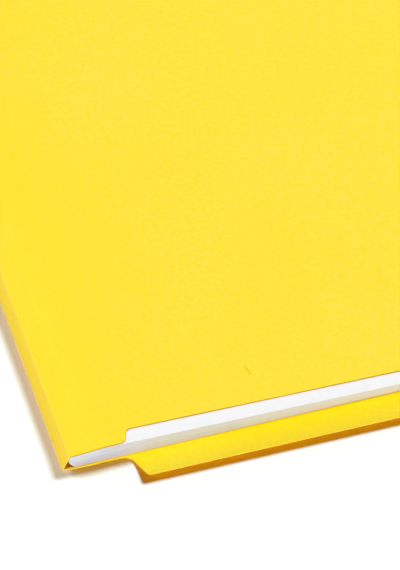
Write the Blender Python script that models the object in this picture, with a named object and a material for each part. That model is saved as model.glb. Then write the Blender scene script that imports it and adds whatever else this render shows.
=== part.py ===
"""Letter-size end-tab fastener folder, closed on a stack of punched sheets.

The folder lies on its back cover. X runs from the spine to the free edge, Y from the tab end to the
fastener end, and Z is up. The origin is the centre of the back cover's underside, without the tab.
Inside the script, places are measured from the lower crease and from the body's tab end, on the
empty named folder_corner.
"""

import math

import bmesh
import bpy
from mathutils import Vector

MM = 0.001

# Card
CARD = 0.36 * MM
PANEL_WIDTH = 241.3 * MM
BODY_LENGTH = 298.5 * MM
FREE_CORNER_RADIUS = 6.0 * MM

# End tab
TAB_DEPTH = 12.7 * MM
TAB_START = 25.7 * MM
TAB_FLANK_RUN = 3.5 * MM
TAB_INNER_RADIUS = 4.5 * MM
TAB_OUTER_RADIUS = 2.0 * MM
TAB_LIFT = 2.7 * MM
TAB_BEND_START = 0.6 * MM
TAB_BEND_STEPS = 6

# Second ply over the tab
PLY = 0.28 * MM
PLY_START = 12.7 * MM
PLY_REACH = 19.0 * MM

# Spine panel, measured between its creases
SPINE_WIDTH = 6.8 * MM
SPINE_LEAN = math.radians(25.0)
CREASE_STEPS = 8

# Lower crease, which the spine holds up from the table
CREASE_LIFT = 1.05 * MM
CREASE_LIFT_REACH = 9.0 * MM
CREASE_LIFT_STEPS = 4

# Front cover
FRONT_SETBACK = 0.1 * MM
FRONT_UNDERCUT = 6.1 * MM
STEP_START = 23.9 * MM
STEP_FLANK_RUN = 2.2 * MM
STEP_OUTER_RADIUS = 3.0 * MM
STEP_INNER_RADIUS = 2.2 * MM
SCORE_DISTANCE = 6.35 * MM
SCORE_WIDTH = 0.7 * MM
SCORE_DEPTH = 0.07 * MM
CROWN = 1.43 * MM
CROWN_REACH = 16.0 * MM
CROWN_STEPS = 5
FRONT_STRIPS = 6

# Sheets
SHEET_COUNT = 30
SHEET = 0.1 * MM
SHEET_WIDTH = 215.9 * MM
SHEET_LENGTH = 279.4 * MM
SHEET_SETBACK = 0.8 * MM
BOTTOM_STANDOFF = 4.8 * MM
STANDOFF_POWER = 2.3
LOOSE_LENGTH = 60.0 * MM
SETTLE_STEPS = 6

# Punched holes
HOLE_SPACING = 70.0 * MM
HOLE_RADIUS = 3.57 * MM
HOLE_TO_EDGE = 9.5 * MM
HOLE_SIDES = 12

# Fastener's steel strip and prongs
STRIP = 0.25 * MM
BASE_WIDTH = 8.0 * MM
PRONG_WIDTH = 5.5 * MM
PRONG_LENGTH = 28.0 * MM
PRONG_BEND = 0.4 * MM
NECK_LENGTH = 2.0 * MM
BEND_STEPS = 4
TIP_STEPS = 5

# Patch over the fastener's base
PATCH = 0.25 * MM
PATCH_LENGTH = 101.6 * MM
PATCH_WIDTH = 25.4 * MM
PATCH_RADIUS = 4.0 * MM
PATCH_MARGIN = 1.0 * MM
PATCH_SLOPE = 1.2 * MM

# Compressor bar, a shallow channel with a lip along each side
COMPRESSOR_LENGTH = 88.9 * MM
CHANNEL_WIDTH = 6.8 * MM
CHANNEL_SLOPE = 0.5 * MM
LIP_WIDTH = 1.1 * MM
LIP_RISE = 0.5 * MM
COMPRESSOR_RADIUS = 2.2 * MM

# Sliding locks
LOCK_LENGTH = 6.0 * MM
LOCK_WALL = 0.2 * MM
LOCK_HOOK = 0.9 * MM
LOCK_REST = 22.0 * MM
RIB_RISE = 0.2 * MM
RIB_WIDTH = 1.0 * MM
RIB_SLOPE = 0.4 * MM

# Clearances
GLUE_LINE = 0.03 * MM
CREASE_GAP = 0.05 * MM
SHEET_GAP = 0.01 * MM
SPINE_GAP = 0.15 * MM
REST_GAP = 0.05 * MM
COVER_GAP = 0.25 * MM
SLOT_GAP = 0.2 * MM
LOCK_GAP = 0.1 * MM
FASTENER_GAP = 0.2 * MM

ARC_STEPS = 6
WELD = 0.001 * MM

# Sizes that follow from the ones above
HALF_CARD = CARD / 2
CREASE_X = HALF_CARD + SPINE_WIDTH * math.sin(SPINE_LEAN)
LOW_CREASE_Z = CREASE_LIFT + HALF_CARD
CREASE_Z = LOW_CREASE_Z + SPINE_WIDTH * math.cos(SPINE_LEAN)
COVER_UNDERSIDE = CREASE_Z - HALF_CARD

STRIP_MIDDLE = GLUE_LINE + STRIP / 2
PATCH_TOP = GLUE_LINE + STRIP + GLUE_LINE + PATCH
SLOT_HALF_LENGTH = PRONG_BEND + STRIP / 2 + SLOT_GAP
SLOT_HALF_WIDTH = PRONG_WIDTH / 2 + SLOT_GAP
LIP_TOP = LIP_RISE + STRIP
COMPRESSOR_WIDTH = CHANNEL_WIDTH + 2 * CHANNEL_SLOPE + 2 * LIP_WIDTH
LOCK_TOP = LIP_TOP + LOCK_GAP + LOCK_WALL
FASTENER_HEIGHT = LOCK_TOP + RIB_RISE

PRESSED_STACK = SHEET_COUNT * SHEET + (SHEET_COUNT - 1) * SHEET_GAP
TAB_END_BASE = CARD + GLUE_LINE + PLY + REST_GAP
LOOSE_TOP = COVER_UNDERSIDE - COVER_GAP
CREASE_SLOPE = math.atan(2 * CREASE_LIFT / CREASE_LIFT_REACH)
FASTENER_BASE = CARD + PATCH_TOP + REST_GAP


def sheet_start(level):
    """Spine edge of the sheet at a level from 0, the lowest, to 1, the highest.

    The upper sheets touch the leaning spine panel, and the lower ones stand off from it.
    """
    height = TAB_END_BASE + level * (LOOSE_TOP - TAB_END_BASE)
    spine_face = HALF_CARD + HALF_CARD / math.cos(SPINE_LEAN)
    spine_face += (height - LOW_CREASE_Z) * math.tan(SPINE_LEAN)
    return spine_face + SPINE_GAP + BOTTOM_STANDOFF * (1 - level) ** STANDOFF_POWER


FASTENER_X = (sheet_start(0) + sheet_start(1) + SHEET_WIDTH) / 2
FASTENER_Y = SHEET_SETBACK + SHEET_LENGTH - HOLE_TO_EDGE
SETTLED_FROM = FASTENER_Y - PATCH_WIDTH / 2 - PATCH_MARGIN
FRONT_AT_FASTENER = (
    FASTENER_BASE
    + PRESSED_STACK
    + REST_GAP
    + FASTENER_HEIGHT
    + FASTENER_GAP
    + FASTENER_HEIGHT
    + REST_GAP
    + PATCH_TOP
)
FASTENER_END_FALL = (COVER_UNDERSIDE - FRONT_AT_FASTENER) / (FASTENER_X - CREASE_X)
TAB_END_FALL = (LOOSE_TOP + CROWN - TAB_END_BASE - PRESSED_STACK) / (
    sheet_start(0) + SHEET_WIDTH - CREASE_X
)


def clear_scene():
    """Removes every object that is in the scene."""
    for item in list(bpy.data.objects):
        bpy.data.objects.remove(item, do_unlink=True)


def make_material(name, colour, roughness, metallic=0.0):
    """One Principled material with its colour, roughness and metallic value."""
    material = bpy.data.materials.new(name)
    material.use_nodes = True
    shader = material.node_tree.nodes["Principled BSDF"]
    shader.inputs["Base Color"].default_value = (*colour, 1.0)
    shader.inputs["Roughness"].default_value = roughness
    shader.inputs["Metallic"].default_value = metallic
    return material


def make_empty(name, location, parent=None, rotation=(0.0, 0.0, 0.0)):
    """A frame that pieces are placed in, or that they turn with."""
    empty = bpy.data.objects.new(name, None)
    empty.parent = parent
    empty.location = location
    empty.rotation_euler = rotation
    bpy.context.collection.objects.link(empty)
    return empty


def make_object(name, shape, material, parent, location=(0.0, 0.0, 0.0)):
    """Turns a bmesh into a named object that hangs on its parent."""
    bmesh.ops.recalc_face_normals(shape, faces=shape.faces[:])
    mesh = bpy.data.meshes.new(name)
    shape.to_mesh(mesh)
    shape.free()
    mesh.materials.append(material)
    mesh.shade_smooth()
    mesh.set_sharp_from_angle(angle=math.radians(25))
    piece = bpy.data.objects.new(name, mesh)
    piece.parent = parent
    piece.location = location
    bpy.context.collection.objects.link(piece)
    return piece


def rounded_outline(corners):
    """Points of a closed outline through (x, y, radius) corners, each rounded by an arc."""
    outline = []
    for index, (x, y, radius) in enumerate(corners):
        corner = Vector((x, y))
        if radius == 0:
            outline.append(corner)
            continue
        before = (Vector(corners[index - 1][:2]) - corner).normalized()
        after = (Vector(corners[(index + 1) % len(corners)][:2]) - corner).normalized()
        half_angle = before.angle(after) / 2
        centre = corner + (before + after).normalized() * (radius / math.sin(half_angle))
        start = (corner + before * (radius / math.tan(half_angle)) - centre).normalized()
        end = (corner + after * (radius / math.tan(half_angle)) - centre).normalized()
        for step in range(ARC_STEPS + 1):
            outline.append(centre + radius * start.slerp(end, step / ARC_STEPS))
    return outline


def rectangle(length, width, radius):
    """Rounded rectangle about the origin, from its lower left corner."""
    x = length / 2
    y = width / 2
    return rounded_outline([(-x, -y, radius), (x, -y, radius), (x, y, radius), (-x, y, radius)])


def round_hole(x, radius):
    """Lower half of a round hole on the X axis, from left to right."""
    half = []
    for step in range(HOLE_SIDES // 2 + 1):
        angle = math.pi * step / (HOLE_SIDES // 2)
        half.append(Vector((x - radius * math.cos(angle), -radius * math.sin(angle))))
    half[0].y = 0.0
    half[-1].y = 0.0
    return half


def slot(x, half_length, half_width):
    """Lower half of a rectangular slot on the X axis, from left to right."""
    left = x - half_length
    right = x + half_length
    return [
        Vector((left, 0.0)),
        Vector((left, -half_width)),
        Vector((right, -half_width)),
        Vector((right, 0.0)),
    ]


def punched(outline, holes):
    """Splits an outline along the X axis, where its holes lie, into the faces on either side."""
    below = [point for point in outline if point.y < 0]
    above = [point for point in outline if point.y > 0]
    left = Vector((min(point.x for point in outline), 0.0))
    right = Vector((max(point.x for point in outline), 0.0))
    lower_path = [point for hole in holes for point in hole]
    upper_path = [Vector((point.x, -point.y)) for point in lower_path]
    return [
        below + [right] + lower_path[::-1] + [left],
        above + [left] + upper_path + [right],
    ]


def triangulate(shape):
    """Cuts every face into triangles, in millimetres, because faces this small in metres fail."""
    bmesh.ops.scale(shape, verts=shape.verts[:], vec=(1 / MM, 1 / MM, 1 / MM))
    bmesh.ops.triangulate(shape, faces=shape.faces[:], quad_method="FIXED")
    bmesh.ops.scale(shape, verts=shape.verts[:], vec=(MM, MM, MM))


def plate(faces, thickness, x_cuts=(), y_cuts=()):
    """Flat plate from its faces, cut along the lines that it later bends at."""
    shape = bmesh.new()
    for face in faces:
        shape.faces.new([shape.verts.new((point.x, point.y, 0.0)) for point in face])
    bmesh.ops.remove_doubles(shape, verts=shape.verts[:], dist=WELD)
    for cuts, direction in ((x_cuts, Vector((1, 0, 0))), (y_cuts, Vector((0, 1, 0)))):
        for cut in cuts:
            bmesh.ops.bisect_plane(
                shape,
                geom=shape.verts[:] + shape.edges[:] + shape.faces[:],
                dist=WELD,
                plane_co=direction * cut,
                plane_no=direction,
            )
    triangulate(shape)
    raised = bmesh.ops.extrude_face_region(shape, geom=shape.faces[:])
    lifted = [item for item in raised["geom"] if isinstance(item, bmesh.types.BMVert)]
    bmesh.ops.translate(shape, verts=lifted, vec=(0.0, 0.0, thickness))
    return shape


def drape(shape, height):
    """Lifts each point of a plate by the height that a function gives at its place."""
    for vertex in shape.verts:
        vertex.co.z += height(vertex.co.x, vertex.co.y)
    return shape


def loft(sections):
    """Closed body through sections, whose two halves run along either side of the form."""
    shape = bmesh.new()
    rings = [[shape.verts.new(point) for point in section] for section in sections]
    for ring, following in zip(rings, rings[1:]):
        for index, vertex in enumerate(ring):
            shape.faces.new((ring[index - 1], vertex, following[index], following[index - 1]))
    for ring in (rings[0], rings[-1]):
        for index in range(len(ring) // 2 - 1):
            shape.faces.new((ring[index], ring[index + 1], ring[-2 - index], ring[-1 - index]))
    triangulate(shape)
    return shape


def along_steps(value, stations, heights):
    """Straight lines between stations, level beyond the first and the last."""
    if value <= stations[0]:
        return heights[0]
    for index in range(1, len(stations)):
        if value <= stations[index]:
            part = (value - stations[index - 1]) / (stations[index] - stations[index - 1])
            return heights[index - 1] + part * (heights[index] - heights[index - 1])
    return heights[-1]


SETTLE_STATIONS = [
    LOOSE_LENGTH + (SETTLED_FROM - LOOSE_LENGTH) * step / SETTLE_STEPS
    for step in range(SETTLE_STEPS + 1)
]
SETTLE_PARTS = [
    (step / SETTLE_STEPS) ** 2 * (3 - 2 * step / SETTLE_STEPS) for step in range(SETTLE_STEPS + 1)
]
TAB_STATIONS = [
    TAB_BEND_START - (TAB_BEND_START + TAB_DEPTH) * step / TAB_BEND_STEPS
    for step in range(TAB_BEND_STEPS, -1, -1)
]
TAB_HEIGHTS = [TAB_LIFT * (step / TAB_BEND_STEPS) ** 2 for step in range(TAB_BEND_STEPS, -1, -1)]
CROWN_STATIONS = [CROWN_REACH * step / CROWN_STEPS for step in range(CROWN_STEPS + 1)]
CROWN_HEIGHTS = [
    CROWN * (step / CROWN_STEPS) ** 2 * (3 - 2 * step / CROWN_STEPS)
    for step in range(CROWN_STEPS + 1)
]
STRIP_STATIONS = [PANEL_WIDTH * strip / FRONT_STRIPS for strip in range(1, FRONT_STRIPS)]
CREASE_LIFT_STATIONS = [
    CREASE_LIFT_REACH * step / CREASE_LIFT_STEPS for step in range(CREASE_LIFT_STEPS + 1)
]
CREASE_LIFT_HEIGHTS = [
    CREASE_LIFT * (1 - step / CREASE_LIFT_STEPS) ** 2 for step in range(CREASE_LIFT_STEPS + 1)
]


def settled(y):
    """How far the sheets are pressed together, from 0 at the tab end to 1 at the fastener."""
    return along_steps(y, SETTLE_STATIONS, SETTLE_PARTS)


def tab_curl(_x, y):
    """Height of the tab's underside, which curls up a little from the body."""
    return along_steps(y, TAB_STATIONS, TAB_HEIGHTS)


def crown(distance, y):
    """How far the loose stack lifts the front cover at a distance from the upper crease."""
    return along_steps(distance, CROWN_STATIONS, CROWN_HEIGHTS) * (1 - settled(y))


def cover_fall(distance, y):
    """How far the front cover has fallen at a distance from the upper crease."""
    slope = TAB_END_FALL + (FASTENER_END_FALL - TAB_END_FALL) * settled(y)
    return distance * slope - crown(distance, y)


def stack_base(y):
    """Underside of the lowest sheet, which lies on the second ply and on the patch."""
    return TAB_END_BASE + (FASTENER_BASE - TAB_END_BASE) * settled(y)


def stack_height(x, y):
    """Height of the stack: loose under the cover's fall at the tab end, pressed at the fastener."""
    loose = LOOSE_TOP - TAB_END_FALL * (x - CREASE_X) - TAB_END_BASE
    return loose + (PRESSED_STACK - loose) * settled(y) + crown(x - CREASE_X, y)


def crease_clearance(angle):
    """Distance from a crease's axis at which a square-cut panel clears the panel that turns."""
    return max(HALF_CARD, HALF_CARD / math.tan(angle / 2)) + CREASE_GAP


def tab_edge():
    """Corners of the die-cut tab, from its shoulder near the spine to its free corner."""
    return [
        (TAB_START, 0.0, TAB_INNER_RADIUS),
        (TAB_START + TAB_FLANK_RUN, -TAB_DEPTH, TAB_OUTER_RADIUS),
        (PANEL_WIDTH, -TAB_DEPTH, FREE_CORNER_RADIUS),
    ]


def build_back_cover(material, corner):
    """Back panel with its end tab, curved up to the lower crease and cut square beside it."""
    start = HALF_CARD + crease_clearance(math.pi / 2 - SPINE_LEAN - CREASE_SLOPE)
    outline = rounded_outline(
        [(start, 0.0, 0.0)]
        + tab_edge()
        + [(PANEL_WIDTH, BODY_LENGTH, FREE_CORNER_RADIUS), (start, BODY_LENGTH, 0.0)]
    )
    shape = plate([outline], CARD, x_cuts=CREASE_LIFT_STATIONS[1:], y_cuts=TAB_STATIONS[1:])

    def height(x, y):
        return tab_curl(x, y) + along_steps(x, CREASE_LIFT_STATIONS, CREASE_LIFT_HEIGHTS)

    return make_object("back_cover", drape(shape, height), material, corner)


def build_tab_reinforcement(material, corner):
    """Second ply, die-cut with the tab and glued over it."""
    outline = rounded_outline(
        [(PLY_START, 0.0, 0.0)]
        + tab_edge()
        + [(PANEL_WIDTH, PLY_REACH, 0.0), (PLY_START, PLY_REACH, 0.0)]
    )
    shape = drape(plate([outline], PLY, y_cuts=TAB_STATIONS[1:]), tab_curl)
    place = (0.0, 0.0, CARD + GLUE_LINE)
    return make_object("tab_reinforcement", shape, material, corner, place)


def build_spine_panel(material, hinge):
    """Panel between the creases, rounded about both of their axes."""
    profile = []
    for centre, start in ((0.0, math.pi), (SPINE_WIDTH, 0.0)):
        for step in range(CREASE_STEPS + 1):
            angle = start + math.pi * step / CREASE_STEPS
            x = HALF_CARD * math.cos(angle)
            z = centre + HALF_CARD * math.sin(angle)
            profile.append((x, z))
    near = [(x, FRONT_SETBACK * z / SPINE_WIDTH, z) for x, z in profile]
    far = [(x, BODY_LENGTH, z) for x, z in profile]
    return make_object("spine_panel", loft([near, far]), material, hinge)


def build_front_cover(material, hinge):
    """Front panel, stepped back behind the tab and scored beside its crease."""
    start = crease_clearance(math.pi / 2 + SPINE_LEAN)
    step_x = STEP_START - CREASE_X
    undercut = FRONT_SETBACK + FRONT_UNDERCUT
    outline = rounded_outline(
        [
            (start, FRONT_SETBACK, 0.0),
            (step_x, FRONT_SETBACK, STEP_OUTER_RADIUS),
            (step_x + STEP_FLANK_RUN, undercut, STEP_INNER_RADIUS),
            (PANEL_WIDTH, undercut, 0.0),
            (PANEL_WIDTH, BODY_LENGTH, FREE_CORNER_RADIUS),
            (start, BODY_LENGTH, 0.0),
        ]
    )
    score = [SCORE_DISTANCE + side * SCORE_WIDTH / 2 for side in (-1, 0, 1)]
    lines = CROWN_STATIONS[1:] + score + STRIP_STATIONS
    shape = plate([outline], CARD, x_cuts=lines, y_cuts=SETTLE_STATIONS)

    def height(x, y):
        groove = along_steps(x, score, [0.0, SCORE_DEPTH, 0.0])
        return -HALF_CARD - cover_fall(x, y) - groove

    return make_object("front_cover", drape(shape, height), material, hinge)


def build_sheets(material, corner):
    """Punched sheets, lying on each other and fanned towards the tab end near the spine."""
    x = SHEET_WIDTH / 2
    near = HOLE_TO_EDGE - SHEET_LENGTH
    far = HOLE_TO_EDGE
    outline = rounded_outline([(-x, near, 0.0), (x, near, 0.0), (x, far, 0.0), (-x, far, 0.0)])
    holes = [round_hole(side * HOLE_SPACING / 2, HOLE_RADIUS) for side in (-1, 1)]
    faces = punched(outline, holes)
    cuts = [station - FASTENER_Y for station in SETTLE_STATIONS]
    for index in range(SHEET_COUNT):
        level = index / (SHEET_COUNT - 1)
        middle = sheet_start(level) + SHEET_WIDTH / 2
        lines = [line + CREASE_X - middle for line in CROWN_STATIONS + STRIP_STATIONS]

        def height(x, y, middle=middle, level=level):
            place = (x + middle, y + FASTENER_Y)
            return stack_base(place[1]) + level * (stack_height(*place) - SHEET)

        shape = drape(plate(faces, SHEET, x_cuts=lines, y_cuts=cuts), height)
        make_object(f"sheet_{index + 1:02d}", shape, material, corner, (middle, FASTENER_Y, 0.0))


def prong_path(rise):
    """Centre line of the strip, from one prong's tip through the base to the other's.

    Each point is (x, z, half width). Rise is the height from the base to the folded prongs.
    """
    reach = HOLE_SPACING / 2
    bend = min(PRONG_BEND, rise / 2)
    tip = reach - (PRONG_LENGTH - rise)
    half_prong = PRONG_WIDTH / 2
    top = STRIP_MIDDLE + rise
    half = [(0.0, STRIP_MIDDLE, BASE_WIDTH / 2)]
    half.append((reach - 2 * NECK_LENGTH, STRIP_MIDDLE, BASE_WIDTH / 2))
    half.append((reach - NECK_LENGTH, STRIP_MIDDLE, half_prong))
    for step in range(BEND_STEPS + 1):
        angle = math.pi / 2 * step / BEND_STEPS
        x = reach - bend + bend * math.sin(angle)
        half.append((x, STRIP_MIDDLE + bend - bend * math.cos(angle), half_prong))
    for step in range(BEND_STEPS + 1):
        angle = math.pi / 2 * step / BEND_STEPS
        x = reach - bend + bend * math.cos(angle)
        half.append((x, top - bend + bend * math.sin(angle), half_prong))
    for step in range(TIP_STEPS):
        angle = math.pi / 2 * step / TIP_STEPS
        x = tip + half_prong * (1 - math.sin(angle))
        half.append((x, top, half_prong * math.cos(angle)))
    return [(-x, z, width) for x, z, width in half[:0:-1]] + half


def build_prongs(name, material, mount, held):
    """Steel strip, bent up through the patch and the sheets and down on the compressor."""
    rise = PATCH_TOP + REST_GAP + held + STRIP + GLUE_LINE + STRIP / 2 - STRIP_MIDDLE
    path = prong_path(rise)
    sections = []
    for index, (x, z, half_width) in enumerate(path):
        before = path[max(index - 1, 0)]
        after = path[min(index + 1, len(path) - 1)]
        along = Vector((after[0] - before[0], after[1] - before[1])).normalized()
        across = Vector((-along.y, along.x)) * (STRIP / 2)
        sections.append(
            [
                (x - across.x, -half_width, z - across.y),
                (x - across.x, half_width, z - across.y),
                (x + across.x, half_width, z + across.y),
                (x + across.x, -half_width, z + across.y),
            ]
        )
    return make_object(name, loft(sections), material, mount)


def prong_slots():
    """Two slots that let the prongs and their bends through."""
    return [
        slot(side * HOLE_SPACING / 2, SLOT_HALF_LENGTH, SLOT_HALF_WIDTH) for side in (-1, 1)
    ]


def build_patch(name, material, mount):
    """Glued patch, raised over the strip and slit for the prongs."""
    faces = punched(rectangle(PATCH_LENGTH, PATCH_WIDTH, PATCH_RADIUS), prong_slots())
    crest_x = HOLE_SPACING / 2 + SLOT_HALF_LENGTH + PATCH_MARGIN
    crest_y = BASE_WIDTH / 2 + PATCH_MARGIN
    x_cuts = [side * (crest_x + slope) for side in (-1, 1) for slope in (0.0, PATCH_SLOPE)]
    y_cuts = [side * (crest_y + slope) for side in (-1, 1) for slope in (0.0, PATCH_SLOPE)]

    def height(x, y):
        nearest = min(crest_x + PATCH_SLOPE - abs(x), crest_y + PATCH_SLOPE - abs(y))
        part = min(max(nearest / PATCH_SLOPE, 0.0), 1.0)
        return GLUE_LINE + part * (STRIP + GLUE_LINE)

    shape = drape(plate(faces, PATCH, x_cuts=x_cuts, y_cuts=y_cuts), height)
    return make_object(name, shape, material, mount)


def build_compressor(name, material, seat):
    """Slotted bar that the prongs are bent down on, lipped along both sides for the locks."""
    outline = rectangle(COMPRESSOR_LENGTH, COMPRESSOR_WIDTH, COMPRESSOR_RADIUS)
    faces = punched(outline, prong_slots())
    profile = [CHANNEL_WIDTH / 2, CHANNEL_WIDTH / 2 + CHANNEL_SLOPE]
    cuts = [side * y for side in (-1, 1) for y in profile]
    shape = plate(faces, STRIP, y_cuts=cuts)
    drape(shape, lambda _x, y: along_steps(abs(y), profile, [0.0, LIP_RISE]))
    return make_object(name, shape, material, seat)


def build_lock(name, material, seat, side):
    """Sliding lock: a ribbed top over the prong, with hooks under the compressor's lips."""
    inner = COMPRESSOR_WIDTH / 2 + LOCK_GAP
    outer = inner + LOCK_WALL
    ceiling = LIP_TOP + LOCK_GAP
    hook_top = LIP_RISE - LOCK_GAP
    hook_base = hook_top - LOCK_WALL
    half = LOCK_LENGTH / 2
    crest = RIB_WIDTH / 2
    foot = crest + RIB_SLOPE
    sections = []
    for x, rib in ((-half, 0), (-foot, 0), (-crest, 1), (crest, 1), (foot, 0), (half, 0)):
        top = LOCK_TOP + rib * RIB_RISE
        outside = [(inner - LOCK_HOOK, hook_base), (outer, hook_base), (outer, top)]
        inside = [(inner - LOCK_HOOK, hook_top), (inner, hook_top), (inner, ceiling)]
        around = outside + [(-y, z) for y, z in outside[::-1]]
        around += [(-y, z) for y, z in inside] + inside[::-1]
        sections.append([(x, y, z) for y, z in around])
    place = (side * LOCK_REST, 0.0, 0.0)
    return make_object(name, loft(sections), material, seat, place)


def build_fastener(prefix, steel, paper, mount, held):
    """Bonded fastener on its mount: base and prongs, patch, compressor and two locks."""
    build_prongs(f"{prefix}_prongs", steel, mount, held)
    build_patch(f"{prefix}_patch", paper, mount)
    height = PATCH_TOP + REST_GAP + held
    seat = make_empty(f"{prefix}_compressor_seat", (0.0, 0.0, height), mount)
    build_compressor(f"{prefix}_compressor", steel, seat)
    build_lock(f"{prefix}_lock_left", steel, seat, -1)
    build_lock(f"{prefix}_lock_right", steel, seat, 1)


def main():
    """Builds the folder from its card to its fasteners."""
    clear_scene()
    card = make_material("yellow_card", (0.98, 0.76, 0.02), 0.75)
    sheet_paper = make_material("white_paper", (0.88, 0.88, 0.88), 0.85)
    patch_paper = make_material("patch_paper", (0.72, 0.58, 0.36), 0.85)
    steel = make_material("tinned_steel", (0.62, 0.62, 0.62), 0.3, 1.0)

    corner = make_empty("folder_corner", (-PANEL_WIDTH / 2, -BODY_LENGTH / 2, 0.0))
    build_back_cover(card, corner)
    build_tab_reinforcement(card, corner)
    build_sheets(sheet_paper, corner)

    crease = (HALF_CARD, 0.0, LOW_CREASE_Z)
    spine_hinge = make_empty("spine_hinge", crease, corner, (0.0, SPINE_LEAN, 0.0))
    build_spine_panel(card, spine_hinge)
    upper_crease = (0.0, 0.0, SPINE_WIDTH)
    cover_hinge = make_empty("cover_hinge", upper_crease, spine_hinge, (0.0, -SPINE_LEAN, 0.0))
    build_front_cover(card, cover_hinge)

    back_place = (FASTENER_X, FASTENER_Y, CARD)
    back_mount = make_empty("back_fastener_mount", back_place, corner)
    held = REST_GAP + PRESSED_STACK
    build_fastener("back", steel, patch_paper, back_mount, held)

    from_crease = FASTENER_X - CREASE_X
    front_place = (from_crease, FASTENER_Y, -HALF_CARD - cover_fall(from_crease, FASTENER_Y))
    turned = (0.0, math.pi + math.atan(FASTENER_END_FALL), 0.0)
    front_mount = make_empty("front_fastener_mount", front_place, cover_hinge, turned)
    build_fastener("front", steel, patch_paper, front_mount, 0.0)


main()
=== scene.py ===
"""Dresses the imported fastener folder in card, paper and steel, and sets it in a pale studio.

The pieces are made in millimetres, because Blender's own cutting and filling fail on faces this
small in metres, and each mesh is brought to metres once. Inside the classes a place is (u, v, z):
u from the lower outer crease, v from the body's tab end, and z up from the table.
"""

import logging
import math
import random
from collections.abc import Callable, Iterable, Mapping, Sequence
from dataclasses import dataclass, replace
from enum import Enum
from functools import cache

import bmesh
import bpy
from mathutils import Matrix, Vector


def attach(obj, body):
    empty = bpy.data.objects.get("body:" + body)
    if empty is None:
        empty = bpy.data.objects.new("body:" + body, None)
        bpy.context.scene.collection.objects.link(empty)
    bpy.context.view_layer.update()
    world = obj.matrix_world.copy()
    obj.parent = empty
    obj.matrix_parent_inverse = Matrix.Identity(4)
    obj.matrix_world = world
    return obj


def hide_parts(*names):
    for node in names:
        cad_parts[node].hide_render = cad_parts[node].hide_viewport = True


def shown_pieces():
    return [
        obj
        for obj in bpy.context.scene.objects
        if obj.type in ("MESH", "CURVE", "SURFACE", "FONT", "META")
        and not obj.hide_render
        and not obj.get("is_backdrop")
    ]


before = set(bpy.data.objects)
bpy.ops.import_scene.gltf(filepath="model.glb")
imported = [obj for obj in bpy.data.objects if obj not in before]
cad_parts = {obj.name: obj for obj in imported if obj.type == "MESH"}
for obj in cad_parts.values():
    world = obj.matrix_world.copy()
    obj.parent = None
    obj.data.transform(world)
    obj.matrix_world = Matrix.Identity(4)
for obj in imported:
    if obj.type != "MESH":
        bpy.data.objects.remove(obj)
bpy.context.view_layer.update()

LOG = logging.getLogger("folder")
METRES = 0.001

# The frame's own origin as a place (u, v, z).
ORIGIN = Vector((120.65, 149.25, 0.0))

# Points nearer than TOUCH are one, a face whose normal rises past LEVEL lies level, and faces
# that meet at more than SHARP keep their edge.
TOUCH = 0.001
LEVEL = 0.8
SHARP = math.radians(15.0)

Triple = tuple[float, float, float]
Colour = Triple
Span = tuple[float, float]
# A painted sheen gradient: the direction it pales along, and where it starts and ends.
SheenGradient = tuple[Triple, float, float]
Lines = tuple[float, float, int]
Height = Callable[[float, float], float]
Outline = list[Vector]


def smooth(part: float) -> float:
    """Eases a part from 0 to 1, level at both ends."""
    part = min(max(part, 0.0), 1.0)
    return part * part * (3.0 - 2.0 * part)


def steps(start: float, end: float, count: int) -> list[float]:
    """Evenly spaced values from start to end, both included."""
    return [start + (end - start) * index / count for index in range(count + 1)]


class Body(Enum):
    """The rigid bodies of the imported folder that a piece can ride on."""

    BACK = "folder_back"
    SPINE = "folder_spine"
    FRONT = "folder_front"


class Stock(Enum):
    """The record's material slots."""

    CARD = "card"
    SHEET = "sheet_paper"
    PATCH = "patch_paper"
    STEEL = "steel"


# Shading


class Signal:
    """A socket of a node tree. Python's operators join it to others through maths nodes."""

    def __init__(self, shader: "Shader", socket: bpy.types.NodeSocket) -> None:
        """Wraps one output socket of a shader's tree."""
        self.shader = shader
        self.socket = socket

    def _join(
        self, operation: str, *terms: "Signal | Triple | float", output: str | int = 0
    ) -> "Signal":
        """Adds the maths node of an operation.

        Args:
            operation: Blender's name of the operation.
            terms: What stands on either side of the operator.
            output: The output that is wanted.

        Returns:
            The node's result.
        """
        kind = "ShaderNodeMath"
        if any(isinstance(term, Signal) and term.socket.type == "VECTOR" for term in terms):
            kind = "ShaderNodeVectorMath"
            terms = [term if isinstance(term, (Signal, tuple)) else (term,) * 3 for term in terms]
        return self.shader.node(kind, {"operation": operation}, dict(enumerate(terms)), output)

    def __add__(self, other: "Signal | Triple | float") -> "Signal":
        """Sum of the two."""
        return self._join("ADD", self, other)

    def __sub__(self, other: "Signal | Triple | float") -> "Signal":
        """This less the other."""
        return self._join("SUBTRACT", self, other)

    def __rsub__(self, other: "Signal | Triple | float") -> "Signal":
        """The other less this."""
        return self._join("SUBTRACT", other, self)

    def __mul__(self, other: "Signal | Triple | float") -> "Signal":
        """Product of the two."""
        return self._join("MULTIPLY", self, other)

    __radd__ = __add__
    __rmul__ = __mul__

    def at_least(self, floor: float) -> "Signal":
        """The larger of the two."""
        return self._join("MAXIMUM", self, floor)

    def at_most(self, ceiling: float) -> "Signal":
        """The smaller of the two."""
        return self._join("MINIMUM", self, ceiling)

    def size(self) -> "Signal":
        """Length of a vector."""
        return self._join("LENGTH", self, output="Value")

    def along(self, direction: Triple) -> "Signal":
        """How far a vector reaches in a direction."""
        return self._join("DOT_PRODUCT", self, direction, output="Value")

    def ramp(self, start: float, end: float) -> "Signal":
        """Eases from 0 to 1 while the signal goes from start to end, which may be the lower."""
        return self.shader.node(
            "ShaderNodeMapRange", {"interpolation_type": "SMOOTHSTEP"},
            {"Value": self, "From Min": start, "From Max": end, "To Min": 0.0, "To Max": 1.0},
        )


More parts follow.
